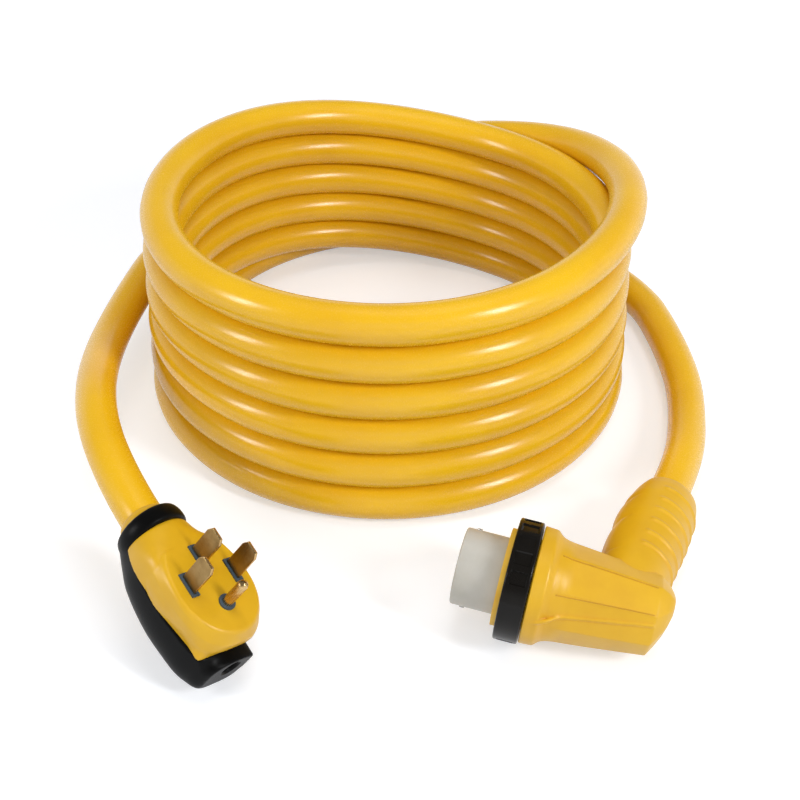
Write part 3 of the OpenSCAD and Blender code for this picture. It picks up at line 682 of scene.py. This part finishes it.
# Connector: places along its axis, with the boot's radius there
FLANGE_X, BOOT_END = -8.0, -92
BOOT = [
    (FLANGE_X, 35.6), (-8.6, 36.0), (-16.2, 35.5), (-17.2, 34.9), (-18.6, 33.4), (-20.5, 32.0),
    (-23.5, 31.0), (-28, 30.3), (-36, 29.6), (-46, 28.6), (-66, 26.2), (-82, 24.3), (-82.4, 24.1),
    (-85.6, 19.8), (-88.6, 15.0), (-90.6, 10.6), (BOOT_END, 6.0),
]
FACET, FACET_FROM, FACET_RUN = 0.72, -23, 9
CAP_X, CAP_R, CAP_RISE = -82.0, 24.3, 0.55


def boot_radius(x, a):
    """Round at the flange, and eight soft facets behind it."""
    flat = cos(pi / 8) / cos(a % (pi / 4) - pi / 8)
    return along(BOOT, x) * flat ** (FACET * smooth((FACET_FROM - x) / FACET_RUN))


def boot_ring(x, count=144):
    """A section of the body. Past the end crease the sections rise, so the cap leans up."""
    rise = CAP_RISE * (CAP_R - along(BOOT, x)) if x < CAP_X else 0.0
    return [(h, y, z + rise) for h, y, z in circle(x, lambda a: boot_radius(x, a), count, "x")]


# The arm has lobes on its left side and slanted ribs across its top
ARM_R = [(0, 22.5), (20, 22.5), (40, 23.0), (54, 23.6), (70, 24.0), (92, 23.6), (103, 22.6),
         (108, 21.6), (111, 19.8), (113, 16.8)]
LOBES = [(30.0, 64.0), (64.0, 87.0), (87.0, 109.0)]
LOBE_HEIGHT, LOBE_BASE = 2.6, 0.7
THIN, THIN_FROM, THIN_RUN = 2.0, 86, 14
RIBS = [37.0, 48.0, 60.5, 72.0, 83.5, 96.0]
RIB_HEIGHT, RIB_WIDTH, RIB_LEAN = 1.15, 1.35, 2.2


def arm_radius(s, a):
    r = along(ARM_R, s)
    turn = (pi / 2 - a + pi) % (2 * pi) - pi
    left = smooth((turn - radians(28)) / radians(42)) * smooth((radians(170) - turn) / radians(40))
    for low, high in LOBES:
        if low < s < high:
            t = 2 * (s - low) / (high - low) - 1
            r += left * LOBE_HEIGHT * (sqrt(1 - t * t) - LOBE_BASE)
    r -= left * THIN * smooth((s - THIN_FROM) / THIN_RUN)
    top = smooth((radians(9) - turn) / radians(10)) * smooth((turn + radians(120)) / radians(30))
    for rib in RIBS:
        off = s - rib - RIB_LEAN * turn
        r += top * RIB_HEIGHT * exp(-((off / RIB_WIDTH) ** 2))
    return r


def boot_spot(x, degrees, lift):
    r = boot_radius(x, radians(degrees)) + lift
    return CONNECTOR @ Vector((x, r * sin(radians(degrees)), r * cos(radians(degrees))))


# A fin runs from the flange to the end crease: its angle and its height over the skin
FIN_FROM, FIN_TO = -13, -82
FIN_TURN = [(FIN_FROM, 82), (-27, 74), (-57, 66), (FIN_TO, 58)]
FIN_LIFT = [(FIN_FROM, -1.2), (-17, -0.5), (-18.5, 1.2), (-21, 2.3), (-28, 0.1), (FIN_TO, 0.0)]
body = loft([boot_ring(x) for x in steps(FLANGE_X, BOOT_END, 0.4)])
arm = turned(steps(0, ARM_LEN, 0.6), arm_radius, 160)
fin_line = [boot_spot(x, along(FIN_TURN, x), along(FIN_LIFT, x)) for x in steps(FIN_FROM, FIN_TO, 1)]
fin = pipe(fin_line, lambda t: 1.5 - 0.5 * smooth(4 * t))
boot = moulded("connector_boot_skin", [moved(body, CONNECTOR), moved(arm, ARM), fin],
               Matrix.Identity(4), yellow, 0.6, 2)

# Fine seams lie on the finished skin, in straight lines from one place and angle to another. Their
# darker colour is painted shade, as of a groove.
SEAM_R, OUTSIDE = 0.45, 60
skin = BVHTree.FromObject(boot, bpy.context.evaluated_depsgraph_get())


def seam(x1, degrees1, x2, degrees2):
    points = []
    for x in steps(x1, x2, 1):
        d = radians(degrees1 + (degrees2 - degrees1) * (x - x1) / (x2 - x1))
        out = (CONNECTOR.to_3x3() @ Vector((0, sin(d), cos(d)))).normalized()
        middle = CONNECTOR @ Vector((x, 0, 0))
        hit = skin.ray_cast((middle + out * OUTSIDE) * 0.001, -out)[0]
        points.append(hit * 1000)
    return pipe(points, SEAM_R, 8)


joined(boot, [seam(-22, 3, -80, 2), seam(-23, 49, -81, 43)], Matrix.Identity(4), painted_seam_shade)
settle(boot, "yellow_rubber", "connector_boot")

# The ring has grip pads with sunk middles, in degrees round it and millimetres along it
RING_R, RING_HALF, RING_EDGE, RING_SIDES = 37.4, 7.5, 1.1, 720
PAD_PITCH, PADS, PAD_TURN = 19.0, 6, -5
PAD_DEEP, PAD_ANGLE, PAD_HALF = 0.95, 6.4, 5.2
RING_BORE, RING_SEAT, RING_LIP = 31.0, 27.1, -3.5
pad_angles = [start + PAD_TURN + (i - (PADS - 1) / 2) * PAD_PITCH
              for start in (0, 180) for i in range(PADS)]


def ring_radius(x, a):
    degrees = 360 * a / (2 * pi)
    off = min(abs((degrees - p + 180) % 360 - 180) for p in pad_angles)
    pocket = smooth((PAD_ANGLE - off) / 0.9) * smooth((PAD_HALF - abs(x)) / 0.5)
    over = max(abs(x) - (RING_HALF - RING_EDGE), 0)
    edge = RING_EDGE - sqrt(max(RING_EDGE**2 - over * over, 0.0))
    return RING_R - PAD_DEEP * pocket - edge


inside = [(RING_HALF, 36.0), (RING_HALF, RING_BORE), (RING_LIP, RING_BORE), (RING_LIP, RING_SEAT),
          (-RING_HALF, RING_SEAT), (-RING_HALF, 36.0)]
sections = [circle(x, lambda a: ring_radius(x, a), RING_SIDES, "x")
            for x in steps(-RING_HALF, RING_HALF, 0.3)]
sections += [circle(x, lambda a: r, RING_SIDES, "x") for x, r in rounded(inside, 0.6, 3)]
ring_verts, ring_faces = loft(sections)
back = (len(sections) - 1) * RING_SIDES
ring_faces = ring_faces[:-2] + [(back + i, back + (i + 1) % RING_SIDES, (i + 1) % RING_SIDES, i)
                                for i in range(RING_SIDES)]
ring = build("locking_ring_skin", [(ring_verts, ring_faces)], CONNECTOR, ring_black)
settle(crisp(ring), "black_plastic", "locking_ring", body="ring")

INSERT_R, INSERT_OUT, INSERT_BACK = 23.7, 37.5, -15.0
SLOT_R, SLOT_W, SLOT_ANGLE = 14.0, 3.5, 50.0
SLOT_FROM, SLOT_TO = -10, 40
insert = build("contact_insert_skin", [lathe(
    [(INSERT_BACK, 0.5), (INSERT_BACK, INSERT_R),
     *rounded([(0, INSERT_R), (INSERT_OUT, INSERT_R), (INSERT_OUT, 18)], 1.6, 6),
     (INSERT_OUT, 0.5)], 160)], CONNECTOR, nylon)
slots = []
for middle in (240, 360, 480):
    arc = [radians(middle + t) for t in steps(-SLOT_ANGLE / 2, SLOT_ANGLE / 2, 2)]
    outline = [(SLOT_R + SLOT_W / 2, a) for a in arc]
    outline += [(SLOT_R - SLOT_W / 2, a) for a in reversed(arc)]
    slots.append(loft([[(x, -r * sin(a), r * cos(a)) for r, a in outline]
                       for x in (SLOT_FROM, SLOT_TO)]))
carved(insert, slots, CONNECTOR)
settle(crisp(insert), "white_nylon", "contact_insert", "insert_core")

# The ground clips show as two dots with a dimple
CLIP_X, CLIP_TURN = 30, -40.0
DOT_R, DOT_FROM, DOT_TO, DIMPLE = 1.6, 21.8, 24.5, 23.9
dot_line = [(DOT_FROM, DOT_R), (DOT_TO, DOT_R), (DOT_TO, 0.75), (DIMPLE, 0.7), (DIMPLE, 0.1)]
dot = lathe([(DOT_FROM, 0.1), *rounded(dot_line, 0.25, 3)], 32, "z")
dots = [moved(dot, Matrix.Translation((CLIP_X, 0, 0)) @ Matrix.Rotation(radians(-degrees), 4, "X"))
        for degrees in (CLIP_TURN, CLIP_TURN + 180)]
clips = build("ground_clips_skin", dots, CONNECTOR, steel)
settle(crisp(clips), "steel", "ground_clips")

# Finishes of the CAD pieces that show as they are
finishes = {
    "sealing_collar": seal, "blade_carrier": slate, "terminal_block": nylon,
    "cord_clamp_upper": dark, "cord_clamp_lower": dark,
}
for name in ("line_contact_x", "line_contact_y", "neutral_contact"):
    finishes[name] = brass
for name in ("ground_strap", "terminal_screws", "insert_screws", "clamp_screws"):
    finishes[name] = steel
for name in nodes:
    if "_wire_" in name:
        finishes[name] = cores[name.rsplit("_", 1)[1]]
for name, finish in finishes.items():
    nodes[name].data.materials.clear()
    nodes[name].data.materials.append(finish)
for name, width in (("blade_carrier", 0.35), ("sealing_collar", 0.5)):
    bevel = nodes[name].modifiers.new("edges", "BEVEL")
    bevel.width = width * 0.001
    bevel.segments = 3
    bevel.limit_method = "ANGLE"
    bevel.angle_limit = radians(40)

# Floor and light, in metres. The floor and the horizon show white, and the floor keeps the shadow.
FLOOR, FLOOR_Z = 30.0, -0.0002
FLOOR_COLOUR = (0.70, 0.72, 0.76, 1)
WHITE = (1, 1, 1, 1)
GLOW_NEAR, GLOW_FAR = 0.43, 1.0
GLOW_FROM, GLOW_TO = 0.5, 1.6
AMBIENT = 0.25
HORIZON_TOP, HORIZON_FADE = 0.2, 0.5
LAMP_AIM = (0, -0.05, 0.05)
# Name, place, size, watts, and whether it shows in reflections
LAMPS = [
    ("top", (0.2, 0.15, 1.8), (1.3, 0.9), 12.5, False),
    ("left", (-1.35, -0.62, 0.9), (0.25, 0.55), 8, True),
    ("right", (1.15, -0.95, 1.0), (0.25, 0.55), 13, True),
    ("front", (0.0, -1.9, 1.2), (1.8, 0.8), 11, False),
]


def combined(tree, operation, *values):
    node = add(tree, "ShaderNodeMath", operation=operation)
    for socket, value in zip(node.inputs, values):
        if isinstance(value, float):
            socket.default_value = value
        else:
            tree.links.new(value, socket)
    return node.outputs[0]


def seen_rays(tree):
    """1 for the rays that see the backdrop, which don't light the object."""
    rays = add(tree, "ShaderNodeLightPath").outputs
    seen = rays["Is Camera Ray"]
    for kind in ("Is Glossy Ray", "Is Transmission Ray"):
        seen = combined(tree, "MAXIMUM", seen, rays[kind])
    return seen


def faded(tree, value, near, far, low, high):
    """A level that goes from low to high as a value goes from near to far."""
    node = add(tree, "ShaderNodeMapRange", interpolation_type="SMOOTHSTEP",
               From_Min=near, From_Max=far, To_Min=low, To_Max=high)
    tree.links.new(value, node.inputs["Value"])
    return node.outputs["Result"]


floor_mat, tree, shader = nodes_of("floor")
shader.inputs["Base Color"].default_value = FLOOR_COLOUR
shader.inputs["Roughness"].default_value = 0.9
shader.inputs["Specular IOR Level"].default_value = 0.0
away = add(tree, "ShaderNodeVectorMath", operation="LENGTH")
tree.links.new(add(tree, "ShaderNodeTexCoord").outputs["Object"], away.inputs[0])
level = faded(tree, away.outputs["Value"], GLOW_FROM, GLOW_TO, GLOW_NEAR, GLOW_FAR)
shader.inputs["Emission Color"].default_value = WHITE
glow = combined(tree, "MULTIPLY", seen_rays(tree), level)
tree.links.new(glow, shader.inputs["Emission Strength"])
corners = [(x * FLOOR * 1000, y * FLOOR * 1000, FLOOR_Z * 1000)
           for x, y in ((-1, -1), (1, -1), (1, 1), (-1, 1))]
floor_obj = build("floor", [(corners, [(0, 1, 2, 3)])], Matrix.Identity(4), floor_mat)

world = bpy.data.worlds.new("world")
scene.world = world
world.use_nodes = True
sky = world.node_tree
way = add(sky, "ShaderNodeSeparateXYZ")
sky.links.new(add(sky, "ShaderNodeTexCoord").outputs["Generated"], way.inputs[0])
horizon = faded(sky, way.outputs["Z"], HORIZON_TOP, HORIZON_FADE, 1 - AMBIENT, 0.0)
horizon = combined(sky, "MULTIPLY", seen_rays(sky), horizon)
backdrop = sky.nodes["Background"]
backdrop.inputs["Color"].default_value = WHITE
sky.links.new(combined(sky, "ADD", horizon, AMBIENT), backdrop.inputs["Strength"])


for name, at, size, watts, glossy in LAMPS:
    lamp = bpy.data.lights.new(name, "AREA")
    lamp.shape = "RECTANGLE"
    lamp.size, lamp.size_y = size
    lamp.energy = watts
    softbox = bpy.data.objects.new(name, lamp)
    softbox.visible_glossy = glossy
    aim(softbox, at, LAMP_AIM)

scene.view_settings.view_transform = "Standard"
